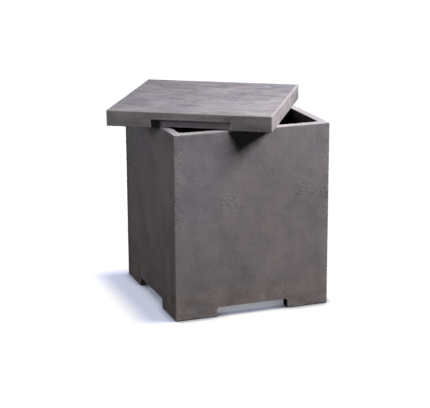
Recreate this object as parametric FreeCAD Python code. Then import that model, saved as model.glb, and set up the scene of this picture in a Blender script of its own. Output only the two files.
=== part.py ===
import FreeCAD, Part
import math
import os

# A square table cast in concrete that stands over a gas cylinder, with a loose lid lying askew on its rim.
# Millimetres, +Z up. The origin is on the floor, at the centre of the cover's footprint, and +Y is its back.

# The cover: one hollow casting, open above and below
COVER_SIDE = 457.0
COVER_HEIGHT = 530.0
RIM_WALL = 25.0
FOOT_WALL = 31.0
COVER_CORNER = 6.0
BAY_CORNER = 15.0
RIM_OUTER_ARRIS = 5.5
RIM_INNER_ARRIS = 3.5
FOOT_ARRIS = 4.0

# The gap under each wall, which leaves a foot at every corner
NOTCH_WIDTH = 210.0
NOTCH_HEIGHT = 25.5
NOTCH_CORNER = 7.0

# The lid: a slab with a hollow below and a hand grip under its front and back edges
LID_OVERHANG = 2.0
LID_THICKNESS = 45.0
LID_CORNER = 11.0
LID_TOP_ARRIS = 6.0
LID_LOW_ARRIS = 2.5
HOLLOW_BORDER = 46.0
HOLLOW_DRAFT = 3.0
HOLLOW_CORNER = 24.0
HOLLOW_FILLET = 9.0
LID_SKIN = 19.0
GRIP_WIDTH = 228.0
GRIP_HEIGHT = 23.0
GRIP_DEPTH = 18.0
GRIP_CORNER = 7.0

# How the lid lies: turned about the vertical, and off the cover's centre
LID_TURN = -32.0
LID_AT_X = -44.0
LID_AT_Y = 26.0

# Rubber buttons let into the feet and the lid's underside
PAD_DIAMETER = 20.0
PAD_PROUD = 1.5
PAD_SOCKET_DEPTH = 3.5
PAD_BEVEL = 0.8
PAD_CLEARANCE = 0.2

LID_SIDE = COVER_SIDE + 2 * LID_OVERHANG
RIM_Z = PAD_PROUD + COVER_HEIGHT
CORNERS = {"front_left": (-1, -1), "front_right": (1, -1), "back_right": (1, 1), "back_left": (-1, 1)}
UP = FreeCAD.Vector(0, 0, 1)
CENTRE = FreeCAD.Vector(0, 0, 0)
THROUGH = 10.0


def square_block(side, height, corner):
    """A square block on z = 0, centred on the origin, with its upright edges rounded."""
    block = Part.makeBox(side, side, height, FreeCAD.Vector(-side / 2, -side / 2, 0))
    return block.makeFillet(corner, steep_edges(block))


def steep_edges(solid):
    """The straight edges that run up the sides of a block or a core."""
    return [e for e in solid.Edges if isinstance(e.Curve, Part.Line) and abs(e.tangentAt(0).z) > 0.9]


def level_face(solid, z):
    """The largest flat face at height z."""
    faces = [f for f in solid.Faces if f.BoundBox.ZLength < 1e-3 and abs(f.BoundBox.ZMin - z) < 1e-3]
    return max(faces, key=lambda face: face.Area)


def core(side_low, side_high, z_low, z_high, corner):
    """A mould's core: a tapered square block with rounded upright edges."""
    low, high = side_low / 2, side_high / 2
    wedge = Part.makeWedge(-low, z_low, -low, -high, -high, low, z_high, low, high, high)
    wedge.rotate(CENTRE, FreeCAD.Vector(1, 0, 0), 90)
    return wedge.makeFillet(corner, steep_edges(wedge))


def bay_core():
    """The space for the cylinder, wider at the rim so that its core draws upwards, run past both ends."""
    slope = (FOOT_WALL - RIM_WALL) / COVER_HEIGHT
    side_low = COVER_SIDE - 2 * (FOOT_WALL + THROUGH * slope)
    side_high = COVER_SIDE - 2 * (RIM_WALL - THROUGH * slope)
    return core(side_low, side_high, -THROUGH, COVER_HEIGHT + THROUGH, BAY_CORNER)


def notch_cutter():
    """The gap under the front wall: straight sides, a level top and two rounded upper corners."""
    half, top, r = NOTCH_WIDTH / 2, NOTCH_HEIGHT, NOTCH_CORNER
    y = -COVER_SIDE / 2 - THROUGH
    slant = r * math.sqrt(0.5)

    def at(x, z):
        return FreeCAD.Vector(x, y, z)

    right = Part.Arc(at(half, top - r), at(half - r + slant, top - r + slant), at(half - r, top))
    left = Part.Arc(at(r - half, top), at(r - half - slant, top - r + slant), at(-half, top - r))
    outline = [
        Part.LineSegment(at(-half, -THROUGH), at(half, -THROUGH)),
        Part.LineSegment(at(half, -THROUGH), at(half, top - r)),
        right,
        Part.LineSegment(at(half - r, top), at(r - half, top)),
        left,
        Part.LineSegment(at(-half, top - r), at(-half, -THROUGH)),
    ]
    wire = Part.Wire([segment.toShape() for segment in outline])
    return Part.Face(wire).extrude(FreeCAD.Vector(0, FOOT_WALL + 2 * THROUGH, 0))


def turned(shape, degrees):
    copy = shape.copy()
    copy.rotate(CENTRE, UP, degrees)
    return copy


def pad_places(from_centre):
    """The four corners of a square, by name."""
    return {name: (sx * from_centre, sy * from_centre) for name, (sx, sy) in CORNERS.items()}


def foot_pad_places():
    return pad_places(COVER_SIDE / 2 - FOOT_WALL / 2)


def lid_pad_places():
    """In the lid's own frame: over the middle of the rim once the lid is turned square."""
    return pad_places(COVER_SIDE / 2 - RIM_WALL / 2)


def pad(x, y, z_low):
    """A rubber button, revolved about its own axis, with its lower rim bevelled."""
    r, top = PAD_DIAMETER / 2, PAD_PROUD + PAD_SOCKET_DEPTH
    outline = [(0, 0), (r - PAD_BEVEL, 0), (r, PAD_BEVEL), (r, top), (0, top), (0, 0)]
    profile = Part.Face(Part.makePolygon([FreeCAD.Vector(px, 0, pz) for px, pz in outline]))
    button = profile.revolve(CENTRE, UP, 360)
    button.translate(FreeCAD.Vector(x, y, z_low))
    return button


def pad_socket(x, y, z):
    """The round recess that a button is let into, open below, with its mouth at height z."""
    radius = PAD_DIAMETER / 2 + PAD_CLEARANCE
    return Part.makeCylinder(radius, PAD_SOCKET_DEPTH + THROUGH, FreeCAD.Vector(x, y, z - THROUGH), UP)


def cover():
    block = square_block(COVER_SIDE, COVER_HEIGHT, COVER_CORNER)
    block = block.makeFillet(FOOT_ARRIS, level_face(block, 0).Edges)
    block = block.makeFillet(RIM_OUTER_ARRIS, level_face(block, COVER_HEIGHT).Edges)
    block = block.cut(bay_core())
    bay_mouth = [w for w in level_face(block, COVER_HEIGHT).Wires if w.BoundBox.XLength < COVER_SIDE - RIM_WALL]
    block = block.makeFillet(RIM_INNER_ARRIS, bay_mouth[0].Edges)
    cutters = [turned(notch_cutter(), quarter * 90) for quarter in range(4)]
    cutters += [pad_socket(x, y, 0) for x, y in foot_pad_places().values()]
    block = block.cut(cutters)
    block.translate(FreeCAD.Vector(0, 0, PAD_PROUD))
    return block


def grip_cutter():
    """The hand grip under the lid's front edge: a shallow recess, open to the front and below."""
    front = -LID_SIDE / 2
    block = Part.makeBox(
        GRIP_WIDTH,
        THROUGH + GRIP_DEPTH,
        THROUGH + GRIP_HEIGHT,
        FreeCAD.Vector(-GRIP_WIDTH / 2, front - THROUGH, -THROUGH),
    )
    back_edges = [e for e in steep_edges(block) if e.BoundBox.YMin > front]
    return block.makeFillet(GRIP_CORNER, back_edges)


def lid_hollow():
    """The hollow in the lid's underside, tapered so that its core draws downwards."""
    mouth = LID_SIDE - 2 * HOLLOW_BORDER
    ceiling = LID_THICKNESS - LID_SKIN
    hollow = core(mouth + 2 * HOLLOW_DRAFT, mouth - 2 * HOLLOW_DRAFT, -ceiling, ceiling, HOLLOW_CORNER)
    return hollow.makeFillet(HOLLOW_FILLET, level_face(hollow, ceiling).Edges)


def lid_slab():
    """The lid in its own frame, with its underside on z = 0."""
    block = square_block(LID_SIDE, LID_THICKNESS, LID_CORNER)
    block = block.makeFillet(LID_TOP_ARRIS, level_face(block, LID_THICKNESS).Edges)
    block = block.makeFillet(LID_LOW_ARRIS, level_face(block, 0).Edges)
    cutters = [lid_hollow(), grip_cutter(), turned(grip_cutter(), 180)]
    cutters += [pad_socket(x, y, 0) for x, y in lid_pad_places().values()]
    return block.cut(cutters)


def laid_on_rim(shape):
    """Take a shape from the lid's own frame to where the lid lies."""
    placed = turned(shape, LID_TURN)
    placed.translate(FreeCAD.Vector(LID_AT_X, LID_AT_Y, RIM_Z))
    return placed


def pieces():
    """Every separate piece, by node name."""
    made = {"cover_casting": cover(), "lid_casting": laid_on_rim(lid_slab())}
    for name, (x, y) in foot_pad_places().items():
        made["foot_pad_" + name] = pad(x, y, 0)
    for name, (x, y) in lid_pad_places().items():
        made["lid_pad_" + name] = laid_on_rim(pad(x, y, -PAD_PROUD))
    return made


os.makedirs("parts", exist_ok=True)
for node, shape in pieces().items():
    shape.exportStep(f"parts/{node}.step")
    print(f"{node}: {len(shape.Solids)} solid, {shape.Volume / 1000:.1f} cm3, valid {shape.isValid()}")
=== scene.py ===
import math

import bmesh
import bpy
import numpy as np
from mathutils import Matrix, Vector


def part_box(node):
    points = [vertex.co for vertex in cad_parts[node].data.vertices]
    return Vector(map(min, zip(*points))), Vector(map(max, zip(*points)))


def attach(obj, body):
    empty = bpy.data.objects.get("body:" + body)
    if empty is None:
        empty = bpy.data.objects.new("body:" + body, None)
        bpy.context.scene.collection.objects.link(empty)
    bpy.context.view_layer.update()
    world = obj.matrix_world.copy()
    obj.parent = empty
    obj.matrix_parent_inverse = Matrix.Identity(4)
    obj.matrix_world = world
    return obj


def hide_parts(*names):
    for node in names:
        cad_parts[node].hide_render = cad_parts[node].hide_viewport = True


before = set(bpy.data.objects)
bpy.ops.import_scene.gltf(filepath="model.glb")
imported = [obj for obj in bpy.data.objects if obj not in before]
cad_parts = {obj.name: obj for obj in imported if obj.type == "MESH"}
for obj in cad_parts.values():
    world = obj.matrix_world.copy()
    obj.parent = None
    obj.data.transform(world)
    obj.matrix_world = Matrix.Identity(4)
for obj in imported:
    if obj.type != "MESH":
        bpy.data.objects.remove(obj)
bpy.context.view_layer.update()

scene = bpy.context.scene
past = 0.01                                           # how far a cutting tool runs past what it opens
touch = 1e-5                                          # points this close count as one
steep = 0.8                                           # an upright edge climbs by this share of its length


# Small helpers for shaping

def deselectAll():
    if bpy.context.object and bpy.context.object.mode != "OBJECT":
        bpy.ops.object.mode_set(mode="OBJECT")
    bpy.ops.object.select_all(action="DESELECT")


def activate(piece):
    deselectAll()
    piece.select_set(True)
    bpy.context.view_layer.objects.active = piece


def addBlock(name, low, high):
    deselectAll()
    middle = [(a + b) / 2 for a, b in zip(low, high)]
    bpy.ops.mesh.primitive_cube_add(size=1, location=middle)
    piece = bpy.context.object
    piece.name = name
    piece.scale = [b - a for a, b in zip(low, high)]
    bpy.ops.object.transform_apply(location=True, rotation=True, scale=True)
    return piece


def selectEdges(piece, test):
    activate(piece)
    bpy.ops.object.mode_set(mode="EDIT")
    bpy.ops.mesh.select_mode(type="EDGE")
    bpy.ops.mesh.select_all(action="DESELECT")
    mesh = bmesh.from_edit_mesh(piece.data)
    for edge in mesh.edges:
        if test(*[v.co for v in edge.verts]):
            edge.select = True
    bmesh.update_edit_mesh(piece.data)


def bevelEdges(piece, test, width, steps):
    selectEdges(piece, test)
    bpy.ops.mesh.bevel(offset=width, segments=steps, profile=0.5)
    bpy.ops.object.mode_set(mode="OBJECT")


# Edges that run more up than across
def upright(a, b):
    return abs(a.z - b.z) > steep * (a - b).length


def atHeight(z):
    return lambda a, b: abs(a.z - z) < touch and abs(b.z - z) < touch


def applyModifier(piece, kind, **settings):
    activate(piece)
    modifier = piece.modifiers.new(kind.title(), kind)
    for key, value in settings.items():
        setattr(modifier, key, value)
    bpy.ops.object.modifier_apply(modifier=modifier.name)


def cutAway(piece, tool):
    applyModifier(piece, "BOOLEAN", operation="DIFFERENCE", object=tool, solver="EXACT")
    bpy.data.objects.remove(tool, do_unlink=True)


def pointsOf(piece):
    places = np.empty(len(piece.data.vertices) * 3, dtype=np.float32)
    piece.data.vertices.foreach_get("co", places)
    return places.reshape(-1, 3)


# A vertex group from one amount for each point, in equal steps
def weighPoints(piece, name, amounts, count=20):
    group = piece.vertex_groups.new(name=name)
    steps = np.round(np.clip(amounts, 0, 1) * count).astype(int)
    for step in range(1, count + 1):
        group.add(np.nonzero(steps == step)[0].tolist(), step / count, "REPLACE")


def storeMask(piece, name, amounts):
    mask = piece.data.attributes.new(name, "FLOAT", "POINT")
    mask.data.foreach_set("value", np.clip(amounts, 0, 1).astype(np.float32))


def cloudTexture(name, size, depth, contrast=1.0, brightness=1.0):
    texture = bpy.data.textures.new(name, "CLOUDS")
    texture.noise_basis = "IMPROVED_PERLIN"
    texture.noise_scale = size
    texture.noise_depth = depth
    texture.contrast = contrast
    texture.intensity = brightness
    return texture


# Moves the points of a group in and out by a cloud texture
def roughen(piece, group, texture, reach, middle=0.5):
    applyModifier(
        piece, "DISPLACE", texture=texture, texture_coords="LOCAL", direction="NORMAL",
        strength=reach, mid_level=middle, vertex_group=group,
    )


def thinOut(piece, triangles):
    count = sum(len(face.vertices) - 2 for face in piece.data.polygons)
    if count > triangles:
        applyModifier(piece, "DECIMATE", decimate_type="COLLAPSE", ratio=triangles / count)
    print(piece.name, "triangles", count, "to", len(piece.data.polygons))


def smoothFinish(piece):
    activate(piece)
    bpy.ops.object.shade_smooth()
    applyModifier(piece, "WEIGHTED_NORMAL", mode="FACE_AREA_WITH_ANGLE", weight=60)
    piece.vertex_groups.clear()


wear = {
    "width": 0.005,                                   # how far wear reaches from an arris
    "waveSize": 0.13, "wave": 0.0010,                 # the casting's faces, never quite flat
    "dentSize": 0.024, "dent": 0.00030,
    "wobbleSize": 0.045, "wobble": -0.0003,           # arrises that wander
    "chipSize": 0.006, "chip": -0.0007,               # small chips out of them
}
waveTexture = cloudTexture("wave", wear["waveSize"], 1)
dentTexture = cloudTexture("dent", wear["dentSize"], 1)
wobbleTexture = cloudTexture("wobble", wear["wobbleSize"], 2, contrast=1.6)
chipTexture = cloudTexture("chip", wear["chipSize"], 2, contrast=4.0, brightness=0.5)


# How near points lie to an arris, 1 on it, from their gaps to the two faces that meet there
def nearArris(gapA, gapB):
    return np.exp(-(gapA ** 2 + gapB ** 2) / wear["width"] ** 2)


def weatherPiece(piece, arris, flats, share=1.0):
    weighPoints(piece, "arrisZone", arris)
    weighPoints(piece, "openZone", flats)
    roughen(piece, "openZone", waveTexture, wear["wave"])
    roughen(piece, "openZone", dentTexture, wear["dent"])
    roughen(piece, "arrisZone", wobbleTexture, share * wear["wobble"], middle=0.0)
    roughen(piece, "arrisZone", chipTexture, share * wear["chip"], middle=0.0)


print("stage: camera")
cameraView = {
    "place": (-1.4183, -3.8612, 1.4063), "turn": (74.408, 0.273, -19.861), "lens": 122.13, "sensor": 36,
}
bpy.ops.object.camera_add(
    location=cameraView["place"], rotation=[math.radians(angle) for angle in cameraView["turn"]]
)
camera = bpy.context.object
camera.data.lens = cameraView["lens"]
camera.data.sensor_width = cameraView["sensor"]
scene.camera = camera


print("stage: cover")
coverLow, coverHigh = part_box("cover_casting")
coverShape = {
    "rimWall": 0.025, "footWall": 0.031, "bayCorner": 0.015,
    "cornerRound": 0.0018, "rimRound": 0.0017, "footRound": 0.0012, "mouthRound": 0.0017,
    "notchWidth": 0.210, "notchHeight": 0.0255, "notchCorner": 0.007,
    "voxel": 0.0020, "triangles": 188000,
    "calm": 0.012,                                    # how far from rim and foot the faces start to wander
    "besideNotch": -0.002,                            # how far past a notch's side its wear goes on
    "fullness": 1.0042,                               # for the outline, which rounding and wear draw in
}


def coverBlock():
    piece = addBlock("coverCasting", coverLow, coverHigh)
    bevelEdges(piece, upright, coverShape["cornerRound"], steps=4)
    bevelEdges(piece, atHeight(coverHigh[2]), coverShape["rimRound"], steps=4)
    bevelEdges(piece, atHeight(coverLow[2]), coverShape["footRound"], steps=3)
    return piece


# The bay's core, which widens upwards by its draft
def bayTool():
    side = coverHigh[0] - coverShape["footWall"]
    growth = (coverHigh[0] - coverShape["rimWall"]) / side
    tool = addBlock("bayTool", (-side, -side, coverLow[2] - past), (side, side, coverHigh[2] + past))
    for vertex in tool.data.vertices:
        if vertex.co.z > coverHigh[2]:
            vertex.co.x *= growth
            vertex.co.y *= growth
    bevelEdges(tool, upright, coverShape["bayCorner"], steps=6)
    return tool


def onBayMouth(a, b):
    reach = coverHigh[0] - coverShape["rimWall"] / 2
    return all(p.z > coverHigh[2] - touch and max(abs(p.x), abs(p.y)) < reach for p in (a, b))


def notchTool(quarter):
    half = coverShape["notchWidth"] / 2
    top = coverLow[2] + coverShape["notchHeight"]
    front, back = coverLow[1] - past, coverLow[1] + coverShape["footWall"] + past
    tool = addBlock("notchTool", (-half, front, coverLow[2] - past), (half, back, top))
    bevelEdges(
        tool,
        lambda a, b: abs(a.y - b.y) > past and a.z > top - touch and b.z > top - touch,
        coverShape["notchCorner"], steps=4,
    )
    tool.data.transform(Matrix.Rotation(math.radians(90 * quarter), 4, "Z"))
    return tool


# For each point, how near an arris it is, and how much of it is open face that may wander
def coverMasks(points):
    across = np.abs(points[:, :2])
    along, outer = across.min(axis=1), coverHigh[0] - across.max(axis=1)
    top, low = coverHigh[2] - points[:, 2], points[:, 2] - coverLow[2]
    wall = coverShape["footWall"] + (coverShape["rimWall"] - coverShape["footWall"]) * low / (top + low)
    inner = outer - wall
    besideNotch = along - coverShape["notchWidth"] / 2
    overNotch = low - coverShape["notchHeight"]
    arris = np.maximum.reduce([
        nearArris(coverHigh[0] - across[:, 0], coverHigh[0] - across[:, 1]),
        nearArris(outer, top),
        nearArris(inner, top),
        nearArris(outer, low) * (besideNotch > coverShape["besideNotch"]),
        nearArris(inner, low) * (besideNotch > coverShape["besideNotch"]),
        nearArris(outer, besideNotch) * (overNotch < 0),
        nearArris(outer, overNotch) * (besideNotch < 0),
    ])
    flats = np.clip(np.minimum(top, low) / coverShape["calm"], 0, 1)
    return arris, flats


cover = coverBlock()
cutAway(cover, bayTool())
bevelEdges(cover, onBayMouth, coverShape["mouthRound"], steps=3)
for quarter in range(4):
    cutAway(cover, notchTool(quarter))
applyModifier(cover, "REMESH", mode="VOXEL", voxel_size=coverShape["voxel"], adaptivity=0.0)
weatherPiece(cover, *coverMasks(pointsOf(cover)))
thinOut(cover, coverShape["triangles"])
storeMask(cover, "arris", coverMasks(pointsOf(cover))[0])
cover.data.transform(Matrix.Diagonal((coverShape["fullness"], coverShape["fullness"], 1, 1)))
smoothFinish(cover)


print("stage: lid")
lidShape = {
    "side": 0.465, "thick": 0.045, "turn": -31.8, "place": (-0.0451, 0.0264),
    "cornerRound": 0.003, "topRound": 0.0028, "lowRound": 0.0012,
    "hollowBorder": 0.046, "hollowDraft": 0.003, "skin": 0.019, "hollowCorner": 0.024, "hollowRound": 0.009,
    "gripWidth": 0.2245, "gripShift": 0.0068, "gripHeight": 0.023, "gripDepth": 0.018, "gripCorner": 0.007,
    "voxel": 0.0018, "triangles": 170000, "calm": 0.008, "wearShare": 0.6,
}
rimHeight = coverHigh[2]


def lidBlock():
    half = lidShape["side"] / 2
    piece = addBlock("lidCasting", (-half, -half, 0), (half, half, lidShape["thick"]))
    bevelEdges(piece, upright, lidShape["cornerRound"], steps=5)
    bevelEdges(piece, atHeight(lidShape["thick"]), lidShape["topRound"], steps=4)
    bevelEdges(piece, atHeight(0), lidShape["lowRound"], steps=3)
    return piece


def hollowTool():
    half = lidShape["side"] / 2 - lidShape["hollowBorder"]
    ceiling, draft = lidShape["thick"] - lidShape["skin"], lidShape["hollowDraft"]
    tool = addBlock("hollowTool", (-half, -half, -ceiling), (half, half, ceiling))
    for vertex in tool.data.vertices:
        change = 1 + (draft if vertex.co.z < 0 else -draft) / half
        vertex.co.x *= change
        vertex.co.y *= change
    bevelEdges(tool, upright, lidShape["hollowCorner"], steps=6)
    bevelEdges(tool, atHeight(ceiling), lidShape["hollowRound"], steps=4)
    return tool


def gripTool(turn):
    half, front = lidShape["gripWidth"] / 2, -lidShape["side"] / 2
    low = (lidShape["gripShift"] - half, front - past, -past)
    high = (lidShape["gripShift"] + half, front + lidShape["gripDepth"], lidShape["gripHeight"])
    tool = addBlock("gripTool", low, high)
    bevelEdges(tool, lambda a, b: upright(a, b) and a.y > front, lidShape["gripCorner"], steps=4)
    tool.data.transform(Matrix.Rotation(math.radians(turn), 4, "Z"))
    return tool


# The same two masks for the lid, in its own frame
def lidMasks(points):
    across = np.abs(points[:, :2])
    half, low = lidShape["side"] / 2, points[:, 2]
    outer, top = half - across.max(axis=1), lidShape["thick"] - low
    ends = half - across[:, 1]
    fromGrip = points[:, 0] + lidShape["gripShift"] * np.sign(points[:, 1])
    besideGrip, overGrip = np.abs(fromGrip) - lidShape["gripWidth"] / 2, low - lidShape["gripHeight"]
    border = outer - lidShape["hollowBorder"]
    arris = np.maximum.reduce([
        nearArris(half - across[:, 0], half - across[:, 1]),
        nearArris(outer, top),
        nearArris(outer, low),
        nearArris(ends, besideGrip) * (overGrip < 0),
        nearArris(ends, overGrip) * (besideGrip < 0),
        nearArris(ends - lidShape["gripDepth"], low) * (besideGrip < 0),
        nearArris(border, low),
    ])
    flats = np.clip(low / lidShape["calm"], 0, 1)
    return arris, flats


lid = lidBlock()
cutAway(lid, hollowTool())
for turn in (0, 180):
    cutAway(lid, gripTool(turn))
applyModifier(lid, "REMESH", mode="VOXEL", voxel_size=lidShape["voxel"], adaptivity=0.0)
weatherPiece(lid, *lidMasks(pointsOf(lid)), lidShape["wearShare"])
thinOut(lid, lidShape["triangles"])
storeMask(lid, "arris", lidMasks(pointsOf(lid))[0])
lidTurn = Matrix.Rotation(math.radians(lidShape["turn"]), 4, "Z")
lid.data.transform(Matrix.Translation((*lidShape["place"], rimHeight)) @ lidTurn)
smoothFinish(lid)


print("stage: pads")
padShape = {
    "bevel": 0.0009, "dimple": 0.0032, "dimpleDeep": 0.0007, "around": 40,
    "facesDown": -0.9, "atRim": 0.98,                 # what counts as the sole, and as its outer edge
    "crease": 40,                                     # degrees past which an edge stays sharp
}


# One rubber button, standing on z = 0, with a dimple in its sole
def padButton(radius, height):
    deselectAll()
    bpy.ops.mesh.primitive_cylinder_add(
        vertices=padShape["around"], radius=radius, depth=height, location=(0, 0, height / 2)
    )
    piece = bpy.context.object
    bpy.ops.object.transform_apply(location=True, rotation=True, scale=True)
    bpy.ops.object.mode_set(mode="EDIT")
    bpy.ops.mesh.select_mode(type="FACE")
    bpy.ops.mesh.select_all(action="DESELECT")
    mesh = bmesh.from_edit_mesh(piece.data)
    for face in mesh.faces:
        face.select = face.normal.z < padShape["facesDown"]
    bmesh.update_edit_mesh(piece.data)
    bpy.ops.mesh.inset(thickness=radius - 2 * padShape["dimple"], depth=0)
    bpy.ops.mesh.inset(thickness=padShape["dimpleDeep"], depth=-padShape["dimpleDeep"])
    bpy.ops.mesh.inset(thickness=padShape["dimple"] / 2, depth=0)
    bpy.ops.object.mode_set(mode="OBJECT")
    bevelEdges(
        piece, lambda a, b: atHeight(0)(a, b) and min(a.xy.length, b.xy.length) > radius * padShape["atRim"],
        padShape["bevel"], steps=3,
    )
    activate(piece)
    bpy.ops.object.shade_smooth_by_angle(angle=math.radians(padShape["crease"]))
    return piece


padNodes = [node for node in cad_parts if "pad" in node]
firstLow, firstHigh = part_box(padNodes[0])
button = padButton((firstHigh[0] - firstLow[0]) / 2, firstHigh[2] - firstLow[2])
pads = {}
for node in padNodes:
    low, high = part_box(node)
    pad = button.copy()
    pad.data = button.data.copy()
    pad.name = node.split("_")[0] + "Pad" + "".join(word.title() for word in node.split("_")[2:])
    scene.collection.objects.link(pad)
    pad.data.transform(Matrix.Translation(((low[0] + high[0]) / 2, (low[1] + high[1]) / 2, low[2])))
    pads[node] = pad
bpy.data.objects.remove(button, do_unlink=True)


print("stage: finishes")


# Small helpers for node trees

def addNode(tree, kind, **settings):
    node = tree.nodes.new(kind)
    for key, value in settings.items():
        setattr(node, key, value)
    return node


def feed(tree, value, target):
    if isinstance(value, bpy.types.NodeSocket):
        tree.links.new(value, target)
    else:
        target.default_value = (*value, 1) if isinstance(value, tuple) and len(value) == 3 else value


def reckon(tree, operation, *values, clamp=False):
    node = addNode(tree, "ShaderNodeMath", operation=operation, use_clamp=clamp)
    for value, target in zip(values, node.inputs):
        feed(tree, value, target)
    return node.outputs[0]


def remap(tree, value, fromLow, fromHigh, toLow=0.0, toHigh=1.0):
    node = addNode(tree, "ShaderNodeMapRange", interpolation_type="SMOOTHSTEP")
    for item, name in ((value, "Value"), (fromLow, "From Min"), (fromHigh, "From Max"),
                       (toLow, "To Min"), (toHigh, "To Max")):
        feed(tree, item, node.inputs[name])
    return node.outputs["Result"]


# The same between two places that are given from a base
def remapFrom(tree, value, base, ends):
    return remap(tree, value, *[base + end for end in ends])


def product(tree, first, *others):
    for other in others:
        first = reckon(tree, "MULTIPLY", first, other)
    return first


def largest(tree, first, *others):
    for other in others:
        first = reckon(tree, "MAXIMUM", first, other)
    return first


# How far a tone is from the middle of its range
def fromMiddle(tree, tone):
    return reckon(tree, "SUBTRACT", tone, 0.5)


def splitVector(tree, vector):
    node = addNode(tree, "ShaderNodeSeparateXYZ")
    feed(tree, vector, node.inputs[0])
    return node.outputs


def mixColour(tree, share, first, second):
    node = addNode(tree, "ShaderNodeMix", data_type="RGBA")
    sockets = [s for s in node.inputs if s.enabled]
    for value, target in zip((share, first, second), sockets):
        feed(tree, value, target)
    return [s for s in node.outputs if s.enabled][0]


def clouds(tree, vector, scale, detail=3.0, roughness=0.55, distortion=0.0):
    node = addNode(tree, "ShaderNodeTexNoise")
    for item, name in ((vector, "Vector"), (scale, "Scale"), (detail, "Detail"),
                       (roughness, "Roughness"), (distortion, "Distortion")):
        feed(tree, item, node.inputs[name])
    return node.outputs["Fac"]


# For each point the gap to the nearest cell's middle, and that cell's own random numbers
def cells(tree, vector, scale):
    node = addNode(tree, "ShaderNodeTexVoronoi", feature="F1")
    feed(tree, vector, node.inputs["Vector"])
    feed(tree, scale, node.inputs["Scale"])
    chance = addNode(tree, "ShaderNodeSeparateColor")
    feed(tree, node.outputs["Color"], chance.inputs[0])
    return node.outputs["Distance"], chance.outputs


# 1 plus each shade times its own amount
def sumTones(tree, shades, amounts):
    total = 1.0
    for name, shade in shades.items():
        total = reckon(tree, "MULTIPLY_ADD", shade, amounts[name], total)
    return total


def newGroup(name, inputs, outputs):
    tree = bpy.data.node_groups.new(name, "ShaderNodeTree")
    for socket, kind, value in inputs:
        made = tree.interface.new_socket(name=socket, in_out="INPUT", socket_type=kind)
        if value is not None:
            made.default_value = value
    for socket, kind in outputs:
        tree.interface.new_socket(name=socket, in_out="OUTPUT", socket_type=kind)
    return tree, tree.nodes.new("NodeGroupInput").outputs, tree.nodes.new("NodeGroupOutput").inputs


def useGroup(tree, group, **values):
    node = addNode(tree, "ShaderNodeGroup", node_tree=group)
    for name, value in values.items():
        feed(tree, value, node.inputs[name])
    return node.outputs


# Soft clouds: a tone that reaches 0 and 1 at the spread from its middle
def mottleGroup():
    tree, given, out = newGroup(
        "mottle",
        [("Vector", "NodeSocketVector", None), ("Scale", "NodeSocketFloat", 8.0),
         ("Spread", "NodeSocketFloat", 0.2)],
        [("Tone", "NodeSocketFloat")],
    )
    wide = clouds(tree, given["Vector"], given["Scale"], detail=4.0, distortion=0.4)
    low, high = reckon(tree, "SUBTRACT", 0.5, given["Spread"]), reckon(tree, "ADD", 0.5, given["Spread"])
    feed(tree, remap(tree, wide, low, high), out["Tone"])
    return tree


grainShape = {"finer": 3.3, "coarse": 0.65, "fine": 0.35, "range": (0.34, 0.66)}


# Sand and paste at the surface: a tone and a height
def grainGroup():
    tree, given, out = newGroup(
        "sandGrain",
        [("Vector", "NodeSocketVector", None), ("Scale", "NodeSocketFloat", 240.0)],
        [("Tone", "NodeSocketFloat"), ("Height", "NodeSocketFloat")],
    )
    coarse = clouds(tree, given["Vector"], given["Scale"], detail=2.0, roughness=0.5)
    finer = product(tree, given["Scale"], grainShape["finer"])
    fine = clouds(tree, given["Vector"], finer, detail=2.0, roughness=0.6)
    both = product(tree, coarse, grainShape["coarse"])
    both = reckon(tree, "MULTIPLY_ADD", fine, grainShape["fine"], both)
    feed(tree, remap(tree, both, *grainShape["range"]), out["Tone"])
    feed(tree, both, out["Height"])
    return tree


spotShape = {"fade": 0.04, "smallest": 0.3, "core": 0.55}


# Round marks in some cells only, each with its own size: air holes or pale specks
def spotGroup():
    tree, given, out = newGroup(
        "spots",
        [("Vector", "NodeSocketVector", None), ("Scale", "NodeSocketFloat", 120.0),
         ("Share", "NodeSocketFloat", 0.2), ("Size", "NodeSocketFloat", 0.25)],
        [("Mask", "NodeSocketFloat")],
    )
    gap, chance = cells(tree, given["Vector"], given["Scale"])
    least = reckon(tree, "SUBTRACT", given["Share"], spotShape["fade"])
    chosen = remap(tree, chance[0], given["Share"], least)
    smallest = spotShape["smallest"]
    radius = product(tree, given["Size"], reckon(tree, "MULTIPLY_ADD", chance[1], 1 - smallest, smallest))
    mark = remap(tree, gap, radius, product(tree, radius, spotShape["core"]))
    feed(tree, product(tree, mark, chosen), out["Mask"])
    return tree


wearShape = {"broken": 1.3, "range": (0.25, 0.75)}


# The arris mask broken up, so that wear comes and goes along it
def wearGroup():
    tree, given, out = newGroup(
        "wornArris",
        [("Vector", "NodeSocketVector", None), ("Arris", "NodeSocketFloat", 0.0),
         ("Scale", "NodeSocketFloat", 60.0)],
        [("Mask", "NodeSocketFloat")],
    )
    broken = clouds(tree, given["Vector"], given["Scale"], detail=4.0, roughness=0.65)
    edge = reckon(tree, "MULTIPLY_ADD", fromMiddle(tree, broken), wearShape["broken"], given["Arris"])
    feed(tree, remap(tree, edge, *wearShape["range"]), out["Mask"])
    return tree


mottle, sandGrain, spots, wornArris = mottleGroup(), grainGroup(), spotGroup(), wearGroup()


def startMaterial(name):
    material = bpy.data.materials.new(name)
    material.use_nodes = True
    tree = material.node_tree
    place = addNode(tree, "ShaderNodeTexCoord").outputs["Object"]
    return material, tree, place, tree.nodes["Principled BSDF"].inputs


def brighten(tree, colour, amount):
    node = addNode(tree, "ShaderNodeHueSaturation")
    feed(tree, colour, node.inputs["Color"])
    feed(tree, amount, node.inputs["Value"])
    return node.outputs[0]


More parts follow.
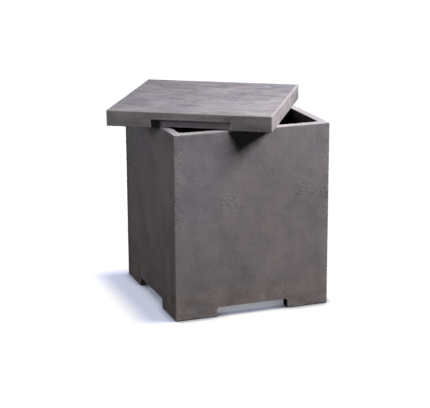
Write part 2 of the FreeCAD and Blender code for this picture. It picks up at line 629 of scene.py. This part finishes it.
def mapped(tree, place, turn=(0, 0, 0), size=(1, 1, 1), shift=(0, 0, 0)):
    node = addNode(tree, "ShaderNodeMapping")
    feed(tree, place, node.inputs["Vector"])
    node.inputs["Location"].default_value = shift
    node.inputs["Rotation"].default_value = [math.radians(a) for a in turn]
    node.inputs["Scale"].default_value = size
    return node.outputs[0]


def addBump(tree, height, distance, strength):
    node = addNode(tree, "ShaderNodeBump")
    feed(tree, height, node.inputs["Height"])
    node.inputs["Distance"].default_value = distance
    node.inputs["Strength"].default_value = strength
    return node.outputs[0]


def addAttribute(tree, name):
    return addNode(tree, "ShaderNodeAttribute", attribute_name=name).outputs["Fac"]


# One mottle for each entry, on coordinates turned or stretched as the entry says
def mottles(tree, place, entries):
    tones = {}
    for name, entry in entries.items():
        change = {key: entry[key] for key in ("turn", "size") if key in entry}
        vector = mapped(tree, place, **change) if change else place
        made = useGroup(tree, mottle, Vector=vector, Scale=entry["scale"], Spread=entry["spread"])
        tones[name] = made["Tone"]
    return tones


def distanceTo(tree, place, at):
    node = addNode(tree, "ShaderNodeVectorMath", operation="DISTANCE")
    feed(tree, place, node.inputs[0])
    node.inputs[1].default_value = at
    return node.outputs["Value"]


twoTones = (0.3, 1.7)                                 # the span that a sum of two tones fills
stainShape = {"ragged": 0.10, "full": 0.35}           # full strength within this share of its reach


# 1 at a named place, fading out at its reach along a ragged line
def stain(tree, place, ragged, at, reach):
    gap = reckon(tree, "MULTIPLY_ADD", ragged, stainShape["ragged"], distanceTo(tree, place, at))
    return remap(tree, gap, reach, reach * stainShape["full"])


coverStains = {
    "pale": {"at": (-0.17, -0.229, 0.39), "reach": 0.17},
    # The next patch is painted light: lighter at the front's upper right
    "rightPale": {"at": (0.17, -0.229, 0.47), "reach": 0.13},
    "frontBrown": {"at": (0.03, -0.229, 0.32), "reach": 0.21},
    "leftBrown": {"at": (-0.229, -0.05, 0.24), "reach": 0.20},
    "rightPebbles": {"at": (0.165, -0.229, 0.35), "reach": 0.060},
    "leftPebbles": {"at": (-0.075, -0.229, 0.335), "reach": 0.055},
}
coverFinish = {
    "cool": (0.385, 0.360, 0.394), "warm": (0.414, 0.356, 0.362), "foot": (0.470, 0.385, 0.368),
    "pale": (0.640, 0.600, 0.640), "speck": (0.68, 0.63, 0.61), "hole": (0.10, 0.09, 0.09),
    # bay is painted shade: the inside coloured near black
    "bay": (0.055, 0.048, 0.042),
    "speckShare": 0.80, "holeShare": 0.7, "bayShare": 0.96,
    "rough": (0.72, 0.92), "shine": 0.35,
    "grain": 230.0, "wear": 90.0, "ragged": 11.0,
    "specks": {"Scale": 190.0, "Share": 0.45, "Size": 0.55},
    "holes": {"Scale": 62.0, "Share": 0.08, "Size": 0.15},
    "hammered": (0.8, 1.6), "smallBump": 0.4, "holeBump": -2.0, "bump": (0.0010, 0.5),
}
coverClouds = {
    "wide": {"scale": 6.0, "spread": 0.16},
    "patches": {"scale": 13.0, "spread": 0.17, "turn": (40, 25, 10)},
    "small": {"scale": 30.0, "spread": 0.2},
    "runs": {"scale": 34.0, "spread": 0.2, "size": (1, 1, 0.16)},
    "bands": {"scale": 42.0, "spread": 0.16, "size": (0.22, 0.22, 1)},
}
# How much each tone or mask lightens the cover, or darkens it; low, high, back and near are painted shade,
# and the upper right patch is painted light
coverTones = {
    "wide": 0.15, "patches": 0.12, "small": 0.08, "runs": 0.08, "grain": 1.0, "streaks": 0.18,
    "low": -0.133, "high": -0.12, "back": -0.24, "near": -0.18, "pale": 0.13, "rightPale": 0.09,
}
coverWarmth = {
    "middle": 0.78, "right": 0.9, "up": -1.1,         # browner to the right and below
    "patches": 0.6, "driftMiddle": 0.8, "drift": 0.40,
    "brown": 0.26, "pale": -0.13,                     # and in the brown stains, less in the pale one
}
# Places on the cover, in metres: each fades in from its first number to its second
coverZones = {
    "footScale": 9.0, "footRagged": 0.06, "foot": (0.116, 0.100), "footPatchy": (-0.4, 1.0, 0.25, 0.85),
    # low, highSlope, high, back, backTop, near and leftFace place the painted shade
    "footStreaks": (0.11, 0.03), "low": (0.24, 0.0), "highSlope": -0.8, "high": (-0.56, -0.65),
    "back": (0.185, 0.225), "backTop": (0.53, 0.50), "near": (-0.16, -0.222), "leftFace": (-0.224, -0.227),
    "rim": (-0.0026, -0.0008), "rimFront": (-0.198, -0.212, 0.75, 0.97), "rubLess": (0.15, 0.20, 0.4, 0.05),
    "bay": (0.0012, -0.0003),
}
coverPebbles = {
    "besideScale": 22.0, "besideRagged": 0.06, "beside": (0.060, 0.040), "besideUp": (0.20, 0.34),
    "clusterScale": 10.0, "clusterUp": 0.3, "clusterHeight": 0.34, "cluster": (0.56, 0.68),
    "front": (-0.225, -0.215, 0.25, 1.0), "grain": (0.50, 0.15),
}


# Lavender grey high up and to the left, browner below, in drifts and in stains
def coverHue(tree, tones, stains, x, z):
    lean = reckon(tree, "MULTIPLY_ADD", x, coverWarmth["right"], coverWarmth["middle"])
    lean = reckon(tree, "MULTIPLY_ADD", z, coverWarmth["up"], lean)
    brown = reckon(tree, "MAXIMUM", stains["frontBrown"], stains["leftBrown"])
    lean = reckon(tree, "MULTIPLY_ADD", brown, coverWarmth["brown"], lean)
    lean = reckon(tree, "MULTIPLY_ADD", stains["pale"], coverWarmth["pale"], lean)
    drift = reckon(tree, "MULTIPLY_ADD", tones["patches"], coverWarmth["patches"], tones["wide"])
    drift = reckon(tree, "SUBTRACT", drift, coverWarmth["driftMiddle"])
    warmth = reckon(tree, "MULTIPLY_ADD", drift, coverWarmth["drift"], lean, clamp=True)
    return mixColour(tree, warmth, coverFinish["cool"], coverFinish["warm"])


# The browner foot, with a ragged top and uneven strength
def footMask(tree, place, tones, z):
    ragged = clouds(tree, place, coverZones["footScale"])
    line = reckon(tree, "MULTIPLY_ADD", ragged, coverZones["footRagged"], z)
    return product(
        tree, remap(tree, line, *coverZones["foot"]), remap(tree, tones["patches"], *coverZones["footPatchy"])
    )


# Pebbly where the face didn't close, in clusters and beside the upright arrises
def pebbleMask(tree, place, stains, fromArris, y, z):
    ragged = clouds(tree, place, coverPebbles["besideScale"])
    band = reckon(tree, "MULTIPLY_ADD", ragged, coverPebbles["besideRagged"], fromArris)
    beside = product(
        tree, remap(tree, band, *coverPebbles["beside"]), remap(tree, z, *coverPebbles["besideUp"])
    )
    above = reckon(tree, "SUBTRACT", z, coverPebbles["clusterHeight"])
    cluster = clouds(tree, place, coverPebbles["clusterScale"])
    cluster = reckon(tree, "MULTIPLY_ADD", above, coverPebbles["clusterUp"], cluster)
    scattered = product(
        tree, remap(tree, cluster, *coverPebbles["cluster"]), remap(tree, y, *coverPebbles["front"])
    )
    return largest(tree, stains["leftPebbles"], stains["rightPebbles"], scattered, beside)


# Painted shade: darker near the floor, high on the left face and at its two ends
def coverPaintedShades(tree, x, y, z):
    high = reckon(tree, "MULTIPLY_ADD", z, coverZones["highSlope"], x)
    return {
        "low": remap(tree, z, *coverZones["low"]),
        "high": remap(tree, high, *coverZones["high"]),
        "back": product(tree, remap(tree, y, *coverZones["back"]), remap(tree, z, *coverZones["backTop"])),
        "near": product(tree, remap(tree, y, *coverZones["near"]), remap(tree, x, *coverZones["leftFace"])),
    }


# The rim's top and the arrises, rubbed pale, with painted shade: less pale on the right-hand arrises and on
# the rim away from the front
def coverRubbedAndShaded(tree, place, x, y, z):
    worn = useGroup(
        tree, wornArris, Vector=place, Arris=addAttribute(tree, "arris"), Scale=coverFinish["wear"]
    )["Mask"]
    rim = remapFrom(tree, z, coverHigh[2], coverZones["rim"])
    return largest(
        tree, product(tree, worn, remap(tree, x, *coverZones["rubLess"])),
        product(tree, rim, remap(tree, y, *coverZones["rimFront"])),
    )


def coverMaterial():
    material, tree, place, shader = startMaterial("coverConcrete")
    x, y, z = splitVector(tree, place)
    sideways = reckon(tree, "ABSOLUTE", x), reckon(tree, "ABSOLUTE", y)
    side = coverHigh[0] * coverShape["fullness"]
    wallFace = side - coverShape["rimWall"] * coverShape["fullness"]
    tones = mottles(tree, place, coverClouds)
    grain = useGroup(tree, sandGrain, Vector=place, Scale=coverFinish["grain"])
    ragged = fromMiddle(tree, clouds(tree, place, coverFinish["ragged"], detail=4.0))
    stains = {name: stain(tree, place, ragged, **spot) for name, spot in coverStains.items()}
    colour = coverHue(tree, tones, stains, x, z)
    colour = mixColour(tree, footMask(tree, place, tones, z), colour, coverFinish["foot"])

    fromArris = reckon(tree, "SUBTRACT", side, reckon(tree, "MINIMUM", *sideways))
    pebbles = pebbleMask(tree, place, stains, fromArris, y, z)
    grainShare = reckon(tree, "MULTIPLY_ADD", pebbles, *coverPebbles["grain"])
    streaks = product(tree, fromMiddle(tree, tones["bands"]), remap(tree, z, *coverZones["footStreaks"]))
    shades = {name: fromMiddle(tree, tones[name]) for name in ("wide", "patches", "small", "runs")}
    shades.update(coverPaintedShades(tree, x, y, z))
    shades.update(
        grain=product(tree, fromMiddle(tree, grain["Tone"]), grainShare), streaks=streaks,
        pale=stains["pale"], rightPale=stains["rightPale"],
    )
    colour = brighten(tree, colour, sumTones(tree, shades, coverTones))

    # Pale specks among the pebbles, air holes, pale wear, and the bay's inside coloured near black as painted
    # shade
    specks = useGroup(tree, spots, Vector=place, **coverFinish["specks"])["Mask"]
    holes = useGroup(tree, spots, Vector=place, **coverFinish["holes"])["Mask"]
    paintedBayShade = remapFrom(tree, reckon(tree, "MAXIMUM", *sideways), wallFace, coverZones["bay"])
    for share, name in (
        (product(tree, specks, pebbles, coverFinish["speckShare"]), "speck"),
        (product(tree, holes, coverFinish["holeShare"]), "hole"),
        (coverRubbedAndShaded(tree, place, x, y, z), "pale"),
        (product(tree, paintedBayShade, coverFinish["bayShare"]), "bay"),
    ):
        colour = mixColour(tree, share, colour, coverFinish[name])
    feed(tree, colour, shader["Base Color"])

    rough = remap(tree, reckon(tree, "ADD", tones["small"], grain["Tone"]), *twoTones, *coverFinish["rough"])
    feed(tree, rough, shader["Roughness"])
    hammered = remap(tree, pebbles, 0.0, 1.0, *coverFinish["hammered"])
    height = product(tree, grain["Height"], hammered)
    height = reckon(tree, "MULTIPLY_ADD", tones["small"], coverFinish["smallBump"], height)
    height = reckon(tree, "MULTIPLY_ADD", holes, coverFinish["holeBump"], height)
    feed(tree, addBump(tree, height, *coverFinish["bump"]), shader["Normal"])
    shader["Specular IOR Level"].default_value = coverFinish["shine"]
    return material


lidFinish = {
    "cool": (0.371, 0.346, 0.400), "warm": (0.413, 0.374, 0.409), "pale": (0.56, 0.51, 0.50),
    "edge": (0.392, 0.366, 0.382), "bloom": (0.50, 0.43, 0.46), "hole": (0.12, 0.11, 0.11),
    "bloomShare": 0.4, "holeShare": 0.6, "wornShare": 0.4, "crestShare": 0.75,
    "rough": (0.60, 0.86), "shine": 0.4,
    "grain": 260.0, "wear": 90.0,
    "holes": {"Scale": 58.0, "Share": 0.08, "Size": 0.15},
    "streakBump": 0.25, "grainBump": 0.7, "holeBump": -2.0, "bump": (0.0009, 0.5),
}
lidClouds = {
    "wide": {"scale": 6.5, "spread": 0.17},
    "patches": {"scale": 15.0, "spread": 0.18},
    "small": {"scale": 42.0, "spread": 0.2},
    "streaks": {"scale": 40.0, "spread": 0.17, "size": (0.24, 1, 1)},
    "lines": {"scale": 150.0, "spread": 0.2, "size": (0.07, 0.07, 1)},
}
# How much each tone or mask lightens the lid, or darkens it; across is painted light and grip is painted
# shade
lidTones = {
    "wide": 0.11, "patches": 0.16, "small": 0.15, "streaks": 0.19, "grain": 0.17, "lines": 0.16,
    "across": 0.62, "low": -0.15, "grip": -0.30, "front": -0.14,
}
# Places on the lid, in metres in its own frame, some of them from its edge, its top or the grip
lidZones = {
    "edge": (-0.0035, -0.001), "low": (0.035, 0.004), "acrossSlope": 0.4, "acrossMiddle": 0.07,
    "bloomAt": (-0.03, -0.02), "bloomScale": 18.0, "bloomRagged": 0.16, "bloom": (0.145, 0.075),
    "endRagged": 0.06, "end": (0.15, 0.20),
    "gripBack": (-0.022, -0.019), "gripFront": (0.0, -0.006), "gripTop": (0.002, -0.001),
    "gripEnd": (0.004, 0.001),
    "frontFace": (-0.222, -0.229), "frontRight": (-0.08, 0.06),
    "crestRight": (-0.06, 0.10), "crestTop": (-0.006, -0.002),
}


# A pale bloom on the top, and at the right end of the edges
def bloomMask(tree, turned, patches, edge, x):
    middle = (*lidZones["bloomAt"], lidShape["thick"])
    ragged = clouds(tree, turned, lidZones["bloomScale"], detail=4.0)
    gap = reckon(tree, "MULTIPLY_ADD", ragged, lidZones["bloomRagged"], distanceTo(tree, turned, middle))
    end = reckon(tree, "MULTIPLY_ADD", patches, lidZones["endRagged"], x)
    return largest(
        tree, remap(tree, gap, *lidZones["bloom"]), product(tree, edge, remap(tree, end, *lidZones["end"]))
    )


# Darker along the edges' foot, painted shade in the grips, and darker on the front edge's right part
def lidShades(tree, edge, x, y, z):
    half, depth = lidShape["side"] / 2, reckon(tree, "ABSOLUTE", y)
    gripEnd = lidShape["gripWidth"] / 2 + lidShape["gripShift"]
    grip = product(
        tree, remapFrom(tree, depth, half, lidZones["gripBack"]),
        remapFrom(tree, depth, half, lidZones["gripFront"]),
        remapFrom(tree, z, lidShape["gripHeight"], lidZones["gripTop"]),
        remapFrom(tree, reckon(tree, "ABSOLUTE", x), gripEnd, lidZones["gripEnd"]),
    )
    return {
        "low": product(tree, edge, remap(tree, z, *lidZones["low"])),
        "grip": grip,
        "front": product(
            tree, remap(tree, y, *lidZones["frontFace"]), remap(tree, x, *lidZones["frontRight"])
        ),
    }


# Pale wear on the arrises, and a paler line on the crest of the right-hand ones
def lidRubbed(tree, place, x, z):
    arris = addAttribute(tree, "arris")
    worn = useGroup(tree, wornArris, Vector=place, Arris=arris, Scale=lidFinish["wear"])["Mask"]
    crest = product(
        tree, arris, remap(tree, x, *lidZones["crestRight"]),
        remapFrom(tree, z, lidShape["thick"], lidZones["crestTop"]), lidFinish["crestShare"],
    )
    return largest(tree, product(tree, worn, lidFinish["wornShare"]), crest)


def lidMaterial():
    material, tree, place, shader = startMaterial("lidConcrete")
    back = Matrix.Rotation(math.radians(-lidShape["turn"]), 3, "Z")
    centre = back @ Vector((*lidShape["place"], rimHeight))
    turned = mapped(tree, place, turn=(0, 0, -lidShape["turn"]), shift=-centre)
    x, y, z = splitVector(tree, turned)
    tones = mottles(tree, turned, lidClouds)
    grain = useGroup(tree, sandGrain, Vector=place, Scale=lidFinish["grain"])
    reach = reckon(tree, "MAXIMUM", reckon(tree, "ABSOLUTE", x), reckon(tree, "ABSOLUTE", y))
    edge = remapFrom(tree, reach, lidShape["side"] / 2, lidZones["edge"])
    bloom = bloomMask(tree, turned, tones["patches"], edge, x)
    colour = mixColour(tree, tones["wide"], lidFinish["cool"], lidFinish["warm"])
    colour = mixColour(tree, edge, colour, lidFinish["edge"])
    colour = mixColour(tree, product(tree, bloom, lidFinish["bloomShare"]), colour, lidFinish["bloom"])

    # Painted light: lighter towards the front and the right; and faint lines along the edges
    across = reckon(tree, "SUBTRACT", reckon(tree, "MULTIPLY", x, lidZones["acrossSlope"]), y)
    shades = {name: fromMiddle(tree, tones[name]) for name in ("wide", "patches", "small", "streaks")}
    shades.update(lidShades(tree, edge, x, y, z))
    shades.update(
        grain=fromMiddle(tree, grain["Tone"]), lines=product(tree, fromMiddle(tree, tones["lines"]), edge),
        across=reckon(tree, "SUBTRACT", across, lidZones["acrossMiddle"]),
    )
    colour = brighten(tree, colour, sumTones(tree, shades, lidTones))
    holes = useGroup(tree, spots, Vector=place, **lidFinish["holes"])["Mask"]
    colour = mixColour(tree, product(tree, holes, lidFinish["holeShare"]), colour, lidFinish["hole"])
    colour = mixColour(tree, lidRubbed(tree, place, x, z), colour, lidFinish["pale"])
    feed(tree, colour, shader["Base Color"])

    rough = remap(tree, reckon(tree, "ADD", tones["small"], tones["streaks"]), *twoTones, *lidFinish["rough"])
    feed(tree, rough, shader["Roughness"])
    height = product(tree, grain["Height"], lidFinish["grainBump"])
    height = reckon(tree, "MULTIPLY_ADD", tones["streaks"], lidFinish["streakBump"], height)
    height = reckon(tree, "MULTIPLY_ADD", holes, lidFinish["holeBump"], height)
    feed(tree, addBump(tree, height, *lidFinish["bump"]), shader["Normal"])
    shader["Specular IOR Level"].default_value = lidFinish["shine"]
    return material


padFinish = {
    "dark": (0.016, 0.016, 0.018), "dusty": (0.045, 0.043, 0.042), "rough": (0.55, 0.8),
    "small": {"Scale": 160.0, "Spread": 0.2}, "grain": 900.0, "bump": (0.0003, 0.4),
}


def padMaterial():
    material, tree, place, shader = startMaterial("padRubber")
    small = useGroup(tree, mottle, Vector=place, **padFinish["small"])["Tone"]
    grain = useGroup(tree, sandGrain, Vector=place, Scale=padFinish["grain"])
    feed(tree, mixColour(tree, small, padFinish["dark"], padFinish["dusty"]), shader["Base Color"])
    feed(tree, remap(tree, grain["Tone"], 0.0, 1.0, *padFinish["rough"]), shader["Roughness"])
    feed(tree, addBump(tree, grain["Height"], *padFinish["bump"]), shader["Normal"])
    return material


cover.data.materials.append(coverMaterial())
lid.data.materials.append(lidMaterial())
rubber = padMaterial()

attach(cover, "cover")
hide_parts("cover_casting")
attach(lid, "lid")
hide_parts("lid_casting")
for node, pad in pads.items():
    pad.data.materials.clear()
    pad.data.materials.append(rubber)
    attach(pad, "lid" if node.startswith("lid") else "cover")
    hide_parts(node)


print("stage: light and floor")
keyLight = {"azimuth": -37, "height": 41, "away": 4.5, "wide": 1.4, "tall": 1.5, "level": 0.83}
rightLight = {"azimuth": 8, "height": 50, "away": 1.6, "wide": 0.6, "tall": 0.8, "level": 0.48}
leftFill = {"azimuth": -174, "height": 18, "away": 2.5, "wide": 0.6, "tall": 0.6, "level": 0.136}
lidFill = {"azimuth": -176, "height": 18, "away": 2.5, "wide": 0.5, "tall": 0.5, "level": 0.145}
backFill = {"azimuth": 90, "height": 4, "away": 2.6, "wide": 0.9, "tall": 0.6, "level": 0.30}
floorSun = {"azimuth": -17, "height": 80, "spread": 8}
lampAim = Vector((0, 0, 0.3))
floorSide = 60


def towards(spec):
    turn, rise = math.radians(spec["azimuth"]), math.radians(spec["height"])
    return Vector((math.cos(rise) * math.cos(turn), math.cos(rise) * math.sin(turn), math.sin(rise)))


# A lamp's level is how bright it makes a white surface that faces it at the aim
def addLamp(name, spec, receivers):
    direction = towards(spec)
    data = bpy.data.lights.new(name, "AREA")
    data.shape = "RECTANGLE"
    data.size, data.size_y = spec["wide"], spec["tall"]
    data.energy = spec["level"] * math.pi ** 2 * spec["away"] ** 2
    lamp = bpy.data.objects.new(name, data)
    scene.collection.objects.link(lamp)
    lamp.location = lampAim + direction * spec["away"]
    lamp.rotation_euler = direction.to_track_quat("Z", "Y").to_euler()
    lamp.light_linking.receiver_collection = receivers


def addFloorSun(name, spec, receivers, blockers):
    data = bpy.data.lights.new(name, "SUN")
    data.energy = math.pi
    data.angle = math.radians(spec["spread"])
    lamp = bpy.data.objects.new(name, data)
    scene.collection.objects.link(lamp)
    lamp.rotation_euler = towards(spec).to_track_quat("Z", "Y").to_euler()
    lamp.light_linking.receiver_collection = receivers
    lamp.light_linking.blocker_collection = blockers


litPieces = bpy.data.collections.new("litPieces")
litFloor = bpy.data.collections.new("litFloor")
litLid = bpy.data.collections.new("litLid")
floorBlockers = bpy.data.collections.new("floorBlockers")
for piece in (cover, lid, *pads.values()):
    litPieces.objects.link(piece)
floorBlockers.objects.link(cover)
litLid.objects.link(lid)

bpy.ops.mesh.primitive_plane_add(size=floorSide, location=(0, 0, 0))
floor = bpy.context.object
floor.name = "floor"
litFloor.objects.link(floor)

addLamp("keyLight", keyLight, litPieces)
addLamp("rightLight", rightLight, litPieces)
addLamp("leftFill", leftFill, litPieces)
addLamp("lidFill", lidFill, litLid)
addLamp("backFill", backFill, litPieces)
addFloorSun("floorSun", floorSun, litFloor, floorBlockers)

floorFinish = {
    "lit": (0.50, 0.465, 0.31), "shade": (0.525, 0.548, 0.680), "halo": (0.540, 0.590, 0.820), "bounce": 0.02,
    "near": 0.04, "far": 0.5,                         # how far two measures of openness look about
    "skyNear": (0.3, 0.9, 0.3, 1.0), "skyFar": (0.12, 0.55, 0.15, 1.0),
    "litNear": (0.5, 0.95, 0.2, 1.0), "litFar": (0.15, 0.45), "haloFar": (0.58, 0.86),
}


def openness(tree, distance):
    node = addNode(tree, "ShaderNodeAmbientOcclusion")
    node.inputs["Distance"].default_value = distance
    return node.outputs["AO"]


# One shader for what the camera sees, another for the light that goes on from there
def byCameraRay(tree, seen, other):
    choose = addNode(tree, "ShaderNodeMixShader")
    feed(tree, addNode(tree, "ShaderNodeLightPath").outputs["Is Camera Ray"], choose.inputs[0])
    feed(tree, other.outputs[0], choose.inputs[1])
    feed(tree, seen.outputs[0], choose.inputs[2])
    return choose.outputs[0]


# White in the light, with the object's shadow and a bluer rim round it
def floorMaterial():
    material = bpy.data.materials.new("floor")
    material.use_nodes = True
    tree = material.node_tree
    tree.nodes.clear()
    near, far = openness(tree, floorFinish["near"]), openness(tree, floorFinish["far"])
    sky = product(tree, remap(tree, near, *floorFinish["skyNear"]), remap(tree, far, *floorFinish["skyFar"]))
    lit = product(tree, remap(tree, near, *floorFinish["litNear"]), remap(tree, far, *floorFinish["litFar"]))
    bounce, direct = addNode(tree, "ShaderNodeBsdfDiffuse"), addNode(tree, "ShaderNodeBsdfDiffuse")
    feed(tree, (floorFinish["bounce"],) * 3, bounce.inputs["Color"])
    feed(tree, mixColour(tree, lit, (0, 0, 0), floorFinish["lit"]), direct.inputs["Color"])
    outwards = remap(tree, far, *floorFinish["haloFar"])
    glow = addNode(tree, "ShaderNodeEmission")
    feed(tree, mixColour(tree, outwards, floorFinish["shade"], floorFinish["halo"]), glow.inputs["Color"])
    feed(tree, sky, glow.inputs["Strength"])
    seen = addNode(tree, "ShaderNodeAddShader")
    feed(tree, direct.outputs[0], seen.inputs[0])
    feed(tree, glow.outputs[0], seen.inputs[1])
    feed(tree, byCameraRay(tree, seen, bounce), addNode(tree, "ShaderNodeOutputMaterial").inputs[0])
    return material


floor.data.materials.append(floorMaterial())

skyLight = {"colour": (0.9, 0.95, 1.0), "strength": 0.008}


def skyWorld():
    world = bpy.data.worlds.new("sky")
    world.use_nodes = True
    tree = world.node_tree
    tree.nodes.clear()
    white, dim = addNode(tree, "ShaderNodeBackground"), addNode(tree, "ShaderNodeBackground")
    feed(tree, (1, 1, 1), white.inputs["Color"])
    feed(tree, skyLight["colour"], dim.inputs["Color"])
    feed(tree, skyLight["strength"], dim.inputs["Strength"])
    feed(tree, byCameraRay(tree, white, dim), addNode(tree, "ShaderNodeOutputWorld").inputs[0])
    scene.world = world


skyWorld()
scene.view_settings.view_transform = "Standard"
